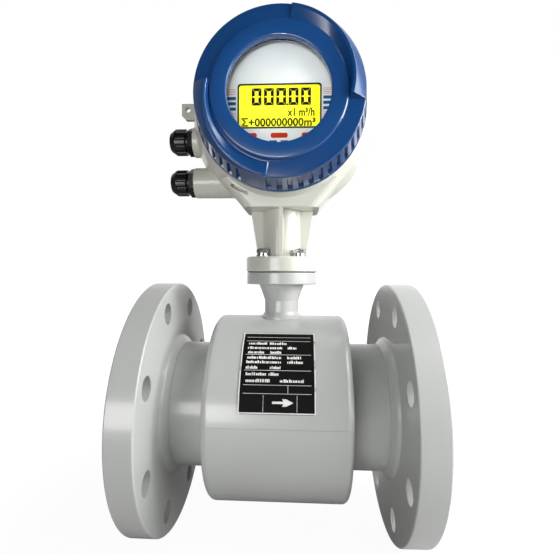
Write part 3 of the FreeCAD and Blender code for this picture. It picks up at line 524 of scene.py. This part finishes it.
RIM_R = (COVER_HIGH.x - COVER_LOW.x) / 2
SKIRT_END = -COVER_HIGH.y
SKIRT_BORE = 65.3
RIM_WIDTH = 3.2
CONE_REAR_R = 72.3
CONE_FRONT_R = 67.8
BAND_Y = 73.3
FACE_Y = 77.5
BOSS_R = 54.4
INNER_Y = 68.3
COLLAR_BORE = 60.5
SKIRT_STOP = 63.0
GRIP_START = 47.0
GRIP_RUN_START = 66.5
GRIP_RUN_END = 71.2
RAMP_START = 8.0
RAMP_END = 96.7
RAMP_SMOOTH = 15.0
RAMP_CREST_END_R = 57.2
RAMP_CREST_WIDTH = 2.6
SEAL_Y = 44.3
SEAL_WIDTH = 3.0
SEAL_DEPTH = 2.6
WINDOW_OPENING_R = 40.9
WINDOW_SEAT_Y = 71.7
WINDOW_R = 47.5
WINDOW_COLLAR_R = 50.0
WINDOW_COLLAR_Y = 64.9
RAMP_CURVE = 1.3
RAMP_FADE_IN = 0.6
RAMP_FADE_OUT = 0.45
RAMP_OVERRUN = 0.1
RAMP_EDGE_STEPS = (-0.1, 0, 0.15, 0.3, 0.45, 0.6)
GRIP_FLOOR_HALF = 1.2
GRIP_LAND_HALF = 1.9
SKIRT_ROUND = 0.5
RIM_ROUND = 0.8
FOOT_ROUND = 0.3
GRIP_END_SLOPE = 0.4
GRIP_END_ROUND = 0.2
GRIP_RUN_START_ROUND = 4.0
GRIP_RUN_END_ROUND = 0.5
BAND_ROUND = 1.4
CREST_ROUND = 0.9
BOSS_FLARE = 0.2
BOSS_FOOT_ROUND = 2.6
BOSS_ROUND = 3.6
WINDOW_ROUND = 1.2
INNER_ROUND = 2.0
GRIP_OFFSETS = (-1.9, -1.75, -1.55, -1.38, -1.2, -0.8, 0.8, 1.2,
                1.38, 1.55, 1.75, 1.9, 2.8, 3.6, 4.4)
AXIS_R = 0.01


def cone_radius(along):
    share = (along - GRIP_START) / (BAND_Y - GRIP_START)
    return CONE_REAR_R + (CONE_FRONT_R - CONE_REAR_R) * share


def grip_share(angle, count):
    """1 on the floor of a grip groove, 0 on the land; the ramp starts have no grooves."""
    pitch = 360 / count
    nearest = round(angle / pitch) * pitch
    if (nearest - RAMP_START) % 180 <= RAMP_SMOOTH:
        return 0.0
    return 1 - smooth_step(abs(angle - nearest), GRIP_FLOOR_HALF, GRIP_LAND_HALF)


def ramp_at(angle, low, high):
    """Height and crest radius of the wrench ramp at an angle."""
    local = (angle - RAMP_START) % 180
    span = RAMP_END - RAMP_START
    share = min(local / span, 1.0)
    crest = CONE_FRONT_R - (CONE_FRONT_R - RAMP_CREST_END_R) * share ** RAMP_CURVE
    fade_in = smooth_step(local, 0, RAMP_FADE_IN)
    fade_out = 1 - smooth_step(local, span - RAMP_FADE_OUT, span + RAMP_OVERRUN)
    return (low + (high - low) * share) * fade_in * fade_out, crest


def cover_outline(centre_corners, angle):
    """Section of a cover at one angle, from the skirt's end over the outside to the seal groove."""
    sizes = bpy.context.scene.flow_covers
    grip = grip_share(angle, sizes.grip_count) * sizes.grip_depth / MM
    height, crest = ramp_at(angle, sizes.ramp_low / MM, sizes.ramp_high / MM)
    groove_end = SEAL_Y + SEAL_WIDTH
    corners = [
        (SKIRT_END, SKIRT_BORE, SKIRT_ROUND),
        (SKIRT_END, RIM_R, RIM_ROUND),
        (SKIRT_END + RIM_WIDTH, RIM_R, RIM_ROUND),
        (SKIRT_END + RIM_WIDTH, CONE_REAR_R, FOOT_ROUND),
        (GRIP_START, cone_radius(GRIP_START), FOOT_ROUND),
        (GRIP_START + GRIP_END_SLOPE, cone_radius(GRIP_START) - grip, GRIP_END_ROUND),
        (GRIP_RUN_START, cone_radius(GRIP_RUN_START) - grip, GRIP_RUN_START_ROUND),
        (GRIP_RUN_END, cone_radius(GRIP_RUN_END), GRIP_RUN_END_ROUND),
        (BAND_Y, CONE_FRONT_R, BAND_ROUND),
        (BAND_Y + height, crest, CREST_ROUND),
        (BAND_Y + height, crest - RAMP_CREST_WIDTH, CREST_ROUND),
        (BAND_Y, BOSS_R + BOSS_FLARE, BOSS_FOOT_ROUND),
        (FACE_Y, BOSS_R, BOSS_ROUND),
    ] + centre_corners + [
        (INNER_Y, COLLAR_BORE, INNER_ROUND),
        (SKIRT_STOP, COLLAR_BORE, 0),
        (SKIRT_STOP, SKIRT_BORE, 0),
        (groove_end, SKIRT_BORE, 0),
        (groove_end, SKIRT_BORE + SEAL_DEPTH, 0),
        (SEAL_Y, SKIRT_BORE + SEAL_DEPTH, 0),
        (SEAL_Y, SKIRT_BORE, 0),
    ]
    return rounded(corners)


def cover_angles():
    """Columns round a cover, close together where grooves and ramp ends need them."""
    count = bpy.context.scene.flow_covers.grip_count
    pitch = 360 / count
    angles = {round(i * pitch + offset, 3) % 360 for i in range(count) for offset in GRIP_OFFSETS}
    for turn in (0, 180):
        for edge in (RAMP_START, RAMP_END - RAMP_FADE_OUT):
            angles |= {round(edge + turn + step, 3) for step in RAMP_EDGE_STEPS}
    return sorted(angles)


def build_cover(name, body, axis, centre_corners):
    """A cover whose grips and ramps are true shapes with rounded edges."""
    def outline_at(angle):
        return cover_outline(centre_corners, angle)

    points, faces = turned_grid(cover_angles(), outline_at, HEAD, axis)
    return piece(name, points, faces, "cover_paint", body, [body], sharp=40)


# --------------------------------------------------------------------- prints

def prism(outlines, place, low, high):
    """Flat (u, v) outlines raised between two heights; place turns u, v, height into a point."""
    points, faces = [], []
    for outline in outlines:
        count = len(outline)
        first = len(points)
        points += [place(u, v, low) for u, v in outline]
        points += [place(u, v, high) for u, v in outline]
        faces.append(tuple(range(first + count - 1, first - 1, -1)))
        faces.append(tuple(range(first + count, first + 2 * count)))
        for i in range(count):
            j = (i + 1) % count
            faces.append((first + i, first + j, first + count + j, first + count + i))
    return points, faces


def bar(u0, u1, v0, v1):
    return [(u0, v0), (u1, v0), (u1, v1), (u0, v1)]


def long_bar(u0, u1, v0, v1, step=2.0):
    """Bars laid end to end, so that a long one can follow a curved plate."""
    count = max(1, math.ceil((v1 - v0) / step))
    rise = (v1 - v0) / count
    return [bar(u0, u1, v0 + rise * i, v0 + rise * (i + 1)) for i in range(count)]


def frame_bars(half_u, half_v, width):
    bars = [bar(-half_u, half_u, -half_v, width - half_v),
            bar(-half_u, half_u, half_v - width, half_v)]
    bars += long_bar(-half_u, width - half_u, width - half_v, half_v - width)
    bars += long_bar(half_u - width, half_u, width - half_v, half_v - width)
    return bars


HOUSING_R = HOUSING_HIGH.y
PLATE_THICKNESS = 0.5
PLATE_R = HOUSING_R + PLATE_THICKNESS
# Heights are from the plate's middle; a row has its height, then the ends of each printed run
PLATE_RULES = (29.9, 25.6, 11.6, -2.3, -14.0, -20.5)
PLATE_DIVIDERS = ((8.5, -20.5, -14.0), (-10.5, -33.8, -21.6), (15.6, -33.8, -21.6))
PLATE_ROWS = (
    (22.9, ((-24.7, -9.6), (-7.4, 6.6))),
    (18.3, ((-25.2, 3.1), (7.6, 14.8))),
    (13.8, ((-24.7, -11.2), (-6.5, 2.9))),
    (8.9, ((-25.0, 2.5), (7.4, 18.6))),
    (4.9, ((-25.5, 2.5), (7.6, 20.0))),
    (0.1, ((-25.5, -15.8), (-6.2, 2.3))),
    (-5.3, ((-25.2, -8.7), (-7.0, 0.9))),
    (-10.6, ((-24.9, -5.9), (2.1, 20.7))),
)
PRINT_SEED = 7
ROW_HEIGHT = 2.5
STROKE_WIDTHS = (0.7, 1.3)
STROKE_HEIGHTS = (0.72, 0.76, 1.0)
STROKE_GAPS = (0.2, 0.22, 0.26, 0.7)
LEAST_STROKE = 0.3
RULE_HALF = 0.16
RULE_END = 26.6
BORDER_INSET = 0.4
PRINT_FOOT = 0.01
DISPLAY_PRINT_TOP = 0.06
ARROW = ((-3.5, -28.0), (5.2, -28.0), (4.0, -29.9), (7.2, -29.9), (12.8, -27.1),
         (7.2, -24.3), (4.0, -24.3), (5.2, -26.2), (-3.5, -26.2))


def plate_place(u, v, height):
    """A point on the plate: u along the flow, v up round the housing, height off its face."""
    low, high = math.asin(PLATE_LOW.z / HOUSING_R), math.asin(PLATE_HIGH.z / PLATE_R)
    turn = (low + high) / 2 + v / PLATE_R
    reach = PLATE_R + height
    return Vector((u, -reach * math.cos(turn), reach * math.sin(turn)))


def unread_run(left, right, middle, source):
    """Short upright strokes that stand for a run of small print nobody reads."""
    strokes = []
    u = left
    while u < right - LEAST_STROKE:
        width = source.uniform(*STROKE_WIDTHS)
        low = middle - ROW_HEIGHT / 2
        high = low + ROW_HEIGHT * source.choice(STROKE_HEIGHTS)
        strokes.append(bar(u, min(u + width, right), low, high))
        u += width + source.choice(STROKE_GAPS)
    return strokes


def plate_print():
    """Rules, dividers, flow arrow and rows of unread strokes."""
    source = random.Random(PRINT_SEED)
    spread = math.asin(PLATE_HIGH.z / PLATE_R) - math.asin(PLATE_LOW.z / HOUSING_R)
    half_v = PLATE_R * spread / 2
    half_u = PLATE_HIGH.x
    rules = [bar(-RULE_END, RULE_END, v - RULE_HALF, v + RULE_HALF) for v in PLATE_RULES]
    for u, low, high in PLATE_DIVIDERS:
        rules += long_bar(u - RULE_HALF, u + RULE_HALF, low, high)
    strokes = []
    for middle, runs in PLATE_ROWS:
        for left, right in runs:
            strokes += unread_run(left, right, middle, source)
    width = bpy.context.scene.flow_prints.border_width / MM
    border = frame_bars(half_u, half_v - BORDER_INSET, width)
    return rules + strokes + [list(ARROW)] + border


SEGMENT_WIDTH = 2.5
SEGMENT_GAP = 0.14
SEGMENT_POINT = 0.75


def segment_digit(left, bottom, width, height):
    """The six outer strokes of a seven-segment nought."""
    stroke, gap, point = SEGMENT_WIDTH, SEGMENT_GAP, SEGMENT_POINT
    middle = height / 2
    strokes = []
    for outer, inner in ((0, stroke), (height, height - stroke)):
        strokes.append([(gap, outer), (width - gap, outer),
                        (width - stroke - gap, inner), (stroke + gap, inner)])
    for outer, inner in ((0, stroke), (width, width - stroke)):
        strokes.append([(outer, gap), (inner, stroke + gap),
                        (inner, middle - point), (outer, middle - gap)])
        strokes.append([(outer, middle + gap), (inner, middle + point),
                        (inner, height - stroke - gap), (outer, height - gap)])
    return [[(left + u, bottom + v) for u, v in corners] for corners in strokes]


TEXT_WEIGHT = 0.022
TEXT_THICKNESS = 0.05 * MM
TEXT_LIFT = 0.04


def text_mesh(words, height, width, left, bottom, depth, name):
    """Thin characters on the display's glass, fitted to a height and a width."""
    curve = bpy.data.curves.new(name, "FONT")
    curve.body = words
    curve.resolution_u = 3
    curve.offset = TEXT_WEIGHT
    holder = bpy.data.objects.new(name, curve)
    bpy.context.scene.collection.objects.link(holder)
    filled = holder.evaluated_get(bpy.context.evaluated_depsgraph_get())
    mesh = bpy.data.meshes.new_from_object(filled)
    bpy.data.objects.remove(holder)
    bpy.data.curves.remove(curve)
    corners = [v.co for v in mesh.vertices]
    low = Vector((min(c.x for c in corners), min(c.y for c in corners)))
    high = Vector((max(c.x for c in corners), max(c.y for c in corners)))
    across, upward = width / (high.x - low.x), height / (high.y - low.y)
    points = [(left + (c.x - low.x) * across, -depth, bottom + (c.y - low.y) * upward)
              for c in corners]
    faces = [tuple(p.vertices) for p in mesh.polygons]
    bpy.data.meshes.remove(mesh)
    text = piece(name, points, faces, "screen_ink", "meter")
    thick = text.modifiers.new("Thickness", "SOLIDIFY")
    thick.thickness = TEXT_THICKNESS
    thick.offset = 0


# ------------------------------------------------------------------ operators

class FLOW_OT_carried(bpy.types.Operator):
    """Give every carried node the finish of its material slot"""
    bl_idname = "flow_meter.carried"
    bl_label = "Carried Pieces"

    def execute(self, context):
        slots = {entry["node"]: entry["material_slot"] for entry in frame["record"]["subparts"]}
        for name, thing in frame["nodes"].items():
            thing.data.materials.clear()
            thing.data.materials.append(finish_of(slots[name]))
        return {"FINISHED"}


class FLOW_OT_front_cover(bpy.types.Operator):
    """Make the windowed front cover"""
    bl_idname = "flow_meter.front_cover"
    bl_label = "Front Cover"

    def execute(self, context):
        build_cover("front_cover_casting", "front_cover", FORWARD, [
            (FACE_Y, WINDOW_OPENING_R, WINDOW_ROUND),
            (WINDOW_SEAT_Y, WINDOW_OPENING_R, 0),
            (WINDOW_SEAT_Y, WINDOW_R, 0),
            (WINDOW_COLLAR_Y, WINDOW_R, 0),
            (WINDOW_COLLAR_Y, WINDOW_COLLAR_R, 0),
            (INNER_Y, WINDOW_COLLAR_R, 0),
        ])
        return {"FINISHED"}


class FLOW_OT_rear_cover(bpy.types.Operator):
    """Make the closed rear cover"""
    bl_idname = "flow_meter.rear_cover"
    bl_label = "Rear Cover"

    def execute(self, context):
        build_cover("rear_cover_casting", "rear_cover", BACKWARD, [
            (FACE_Y, AXIS_R, 0),
            (INNER_Y, AXIS_R, 0),
        ])
        return {"FINISHED"}


class FLOW_OT_rating_plate(bpy.types.Operator):
    """Print the rating plate"""
    bl_idname = "flow_meter.rating_plate"
    bl_label = "Rating Plate"

    def execute(self, context):
        thickness = context.scene.flow_prints.print_thickness / MM
        points, faces = prism(plate_print(), plate_place, PRINT_FOOT, thickness)
        piece("rating_plate_print", points, faces, "plate_white", "meter")
        return {"FINISHED"}


# Lengths on the display are from the window's middle; a text has its words, height and width,
# then its left end and its foot
STRIPE_GAP = 2.6
STRIPE_OUTER_END = 44.0
STRIPE_HEIGHT = 2.5
STRIPES = (-3.1, -7.3, -11.6)
HAIRLINE_HALF = 0.25
HAIRLINES = (5.3, 3.9, 2.6, 1.2, -13.6, -15.1, -16.6)
BLUE_BARS = ((-7.9, -1.9), (1.1, 7.0))
BLUE_BAR_SPAN = (-38.4, -35.8)
DIGITS = 5
DIGITS_BEFORE_DOT = 3
DIGITS_LEFT = -22.3
DIGITS_BOTTOM = -7.8
DOT_HALF = 0.75
DOT_SPAN = (-8.0, -6.5)
DISPLAY_TEXTS = (
    ("x1 m³/h", 6.6, 21.6, 6.5, -16.6, "display_unit"),
    ("Σ+000000000m³", 6.9, 59.5, -30.6, -24.6, "display_total"),
)


class FLOW_OT_display(bpy.types.Operator):
    """Print the display panel and fill in its reading"""
    bl_idname = "flow_meter.display"
    bl_label = "Display"

    def execute(self, context):
        panel_y = -PANEL_LOW.y
        glass_y = -SCREEN_LOW.y

        def on_panel(u, v, height):
            return Vector((u, -(panel_y + height), HEAD.z + v))

        def on_glass(u, v, height):
            return Vector((u, -(glass_y + height), HEAD.z + v))

        inner_end = SCREEN_HIGH.x + STRIPE_GAP
        blue = [bar(left, right, *BLUE_BAR_SPAN) for left, right in BLUE_BARS]
        stripes, hairlines = [], []
        for side in (-1, 1):
            ends = sorted((side * inner_end, side * STRIPE_OUTER_END))
            stripes += [bar(*ends, v, v + STRIPE_HEIGHT) for v in STRIPES]
            hairlines += [bar(*ends, v - HAIRLINE_HALF, v + HAIRLINE_HALF) for v in HAIRLINES]
        span = PRINT_FOOT, DISPLAY_PRINT_TOP
        piece("panel_blue_stripes", *prism(stripes + blue, on_panel, *span), "stripe_blue", "meter")
        piece("panel_hairlines", *prism(hairlines, on_panel, *span), "stripe_red", "meter")
        sizes = context.scene.flow_prints
        width, height = sizes.digit_width / MM, sizes.digit_height / MM
        pitch = sizes.digit_pitch / MM
        strokes = []
        for i in range(DIGITS):
            strokes += segment_digit(DIGITS_LEFT + pitch * i, DIGITS_BOTTOM, width, height)
        dot = DIGITS_LEFT + pitch * DIGITS_BEFORE_DOT - (pitch - width) / 2
        strokes.append(bar(dot - DOT_HALF, dot + DOT_HALF, *DOT_SPAN))
        piece("display_digits", *prism(strokes, on_glass, *span), "screen_ink", "meter")
        depth = glass_y + TEXT_LIFT
        for words, high, wide, left, bottom, name in DISPLAY_TEXTS:
            text_mesh(words, high, wide, left, HEAD.z + bottom, depth, name)
        return {"FINISHED"}


class FLOW_OT_stage(bpy.types.Operator):
    """Set the floor, the lamps, the world and the camera"""
    bl_idname = "flow_meter.stage"
    bl_label = "Stage"

    def execute(self, context):
        studio = context.scene.flow_studio
        lay_floor(tuple(studio.floor_tone))
        light_world(studio.surround)
        for name, place, size, setting in LAMPS:
            lamp = add_lamp(name, "AREA", place, LAMP_TARGET, getattr(studio, setting))
            lamp.size = size
        panel_middle = Vector((0, PANEL_LOW.y, HEAD.z)) * MM
        spot = add_lamp("window_lamp", "SPOT", WINDOW_LAMP_PLACE, panel_middle, studio.window_power)
        reach = (panel_middle - WINDOW_LAMP_PLACE).length
        spot.spot_size = 2 * math.atan((WINDOW_OPENING_R + SPOT_MARGIN) * MM / reach)
        spot.spot_blend = SPOT_BLEND
        spot.shadow_soft_size = SPOT_RADIUS
        place_camera(studio.lens)
        context.scene.view_settings.view_transform = "Standard"
        return {"FINISHED"}


# --------------------------------------------------------------------- studio

CAMERA_PLACE = Vector((16.07, -393.28, 125.12)) * MM
CAMERA_TURN = 2.99
CAMERA_TILT = -0.57
CAMERA_ROLL = 0.32
SENSOR_WIDTH = 36
CLIP_START = 0.01
LAMP_TARGET = Vector((0, 0, 0.12))
LAMPS = (
    ("high_lamp", (0.9, -0.3, 0.9), 0.7, "high_power"),
    ("right_lamp", (0.9, -0.7, 0.35), 0.5, "right_power"),
    ("head_lamp", (0.7, -0.15, 0.3), 0.25, "head_power"),
    ("low_lamp", (-0.45, -1.2, 0.02), 0.6, "low_power"),
)
WINDOW_LAMP_PLACE = Vector((-0.05, -0.95, 0.21))
SPOT_MARGIN = 3.0
SPOT_BLEND = 0.1
SPOT_RADIUS = 0.03
FLOOR_HALF = 6.0
FLOOR_DROP = 0.0002
FLOOR_GLOW = 1.18
GLOW_SHARE_NEAR = 0.8
GLOW_NEAR = 0.25
GLOW_FAR = 0.8
FRONT_LIGHT = 0.04


def place_camera(lens):
    data = bpy.data.cameras.new("camera")
    data.lens = lens
    data.sensor_width = SENSOR_WIDTH
    data.clip_start = CLIP_START
    camera = bpy.data.objects.new("camera", data)
    bpy.context.scene.collection.objects.link(camera)
    turn = Matrix.Rotation(math.radians(CAMERA_TURN), 4, "Z")
    tilt = Matrix.Rotation(math.radians(90 + CAMERA_TILT), 4, "X")
    roll = Matrix.Rotation(math.radians(CAMERA_ROLL), 4, "Z")
    camera.matrix_world = Matrix.Translation(CAMERA_PLACE) @ turn @ tilt @ roll
    bpy.context.scene.camera = camera


def add_lamp(name, kind, place, target, power):
    """Links a lamp that faces the target and returns its data."""
    data = bpy.data.lights.new(name, kind)
    data.energy = power
    lamp = bpy.data.objects.new(name, data)
    bpy.context.scene.collection.objects.link(lamp)
    lamp.location = place
    lamp.rotation_euler = (target - Vector(place)).to_track_quat("-Z", "Y").to_euler()
    lamp.visible_camera = False
    return data


def lay_floor(colour):
    """A wide plain floor under the flanges, bright to the camera and still taking a soft shadow."""
    level = CAD_BOX[0][2] - FLOOR_DROP
    corners = [(x * FLOOR_HALF, y * FLOOR_HALF, level)
               for x, y in ((-1, -1), (1, -1), (1, 1), (-1, 1))]
    mesh = bpy.data.meshes.new("floor")
    mesh.from_pydata(corners, [], [(0, 1, 2, 3)])
    floor = bpy.data.objects.new("floor", mesh)
    bpy.context.scene.collection.objects.link(floor)
    recipe = material("floor")
    seen = recipe.node("ShaderNodeLightPath", output="Is Camera Ray")
    place = recipe.node("ShaderNodeTexCoord", output="Object")
    distance = recipe.node("ShaderNodeVectorMath", {0: place}, output="Value",
                           operation="LENGTH")
    fade = recipe.node("ShaderNodeMapRange",
                       {"Value": distance, "From Min": GLOW_NEAR, "From Max": GLOW_FAR,
                        "To Min": GLOW_SHARE_NEAR, "To Max": 1.0}, output="Result")
    matte = recipe.node("ShaderNodeBsdfDiffuse", {"Color": colour})
    bright = recipe.node("ShaderNodeEmission", {"Color": (1, 1, 1), "Strength": FLOOR_GLOW})
    recipe.finish(recipe.node("ShaderNodeMixShader", {0: seen * fade, 1: matte, 2: bright}))
    mesh.materials.append(recipe.owner)


def light_world(strength):
    """White to the camera; on the object, light from behind that fades to dark in front."""
    world = bpy.data.worlds.new("studio")
    bpy.context.scene.world = world
    recipe = Recipe(world)
    seen = recipe.node("ShaderNodeLightPath", output="Is Camera Ray")
    towards = recipe.node("ShaderNodeTexCoord", output="Generated")
    behind = recipe.node("ShaderNodeSeparateXYZ", {"Vector": towards}, output="Y")
    glow = recipe.node("ShaderNodeMapRange",
                       {"Value": behind, "From Min": 0.0, "From Max": 1.0,
                        "To Min": FRONT_LIGHT, "To Max": strength}, output="Result")
    soft = recipe.node("ShaderNodeBackground", {"Color": (1, 1, 1), "Strength": glow})
    white = recipe.node("ShaderNodeBackground", {"Color": (1, 1, 1), "Strength": 1.0})
    mixed = recipe.node("ShaderNodeMixShader", {0: seen, 1: soft, 2: white})
    recipe.node("ShaderNodeOutputWorld", {"Surface": mixed})


# --------------------------------------------------------------------- add-on

class FLOW_PT_panel(bpy.types.Panel):
    """The pieces and their settings"""
    bl_idname = "FLOW_PT_panel"
    bl_label = "Flow Meter"
    bl_space_type = "VIEW_3D"
    bl_region_type = "UI"
    bl_category = "Flow Meter"

    def draw(self, context):
        for group in SETTINGS:
            box = self.layout.box()
            holder = getattr(context.scene, group)
            for name in holder.bl_rna.properties.keys():
                if name not in ("rna_type", "name"):
                    box.prop(holder, name)
        for step in STEPS:
            self.layout.operator(step.bl_idname)


SETTINGS = {
    "flow_finish": FLOW_PG_finish,
    "flow_covers": FLOW_PG_covers,
    "flow_prints": FLOW_PG_prints,
    "flow_studio": FLOW_PG_studio,
}
STEPS = (
    FLOW_OT_carried,
    FLOW_OT_front_cover,
    FLOW_OT_rear_cover,
    FLOW_OT_rating_plate,
    FLOW_OT_display,
    FLOW_OT_stage,
)
CLASSES = (*SETTINGS.values(), *STEPS, FLOW_PT_panel)


def register():
    for each in CLASSES:
        bpy.utils.register_class(each)
    for name, group in SETTINGS.items():
        setattr(bpy.types.Scene, name, bpy.props.PointerProperty(type=group))


def unregister():
    for name in SETTINGS:
        delattr(bpy.types.Scene, name)
    for each in reversed(CLASSES):
        bpy.utils.unregister_class(each)


def main():
    register()
    for step in STEPS:
        group, name = step.bl_idname.split(".")
        getattr(getattr(bpy.ops, group), name)()


if __name__ == "__main__":
    main()
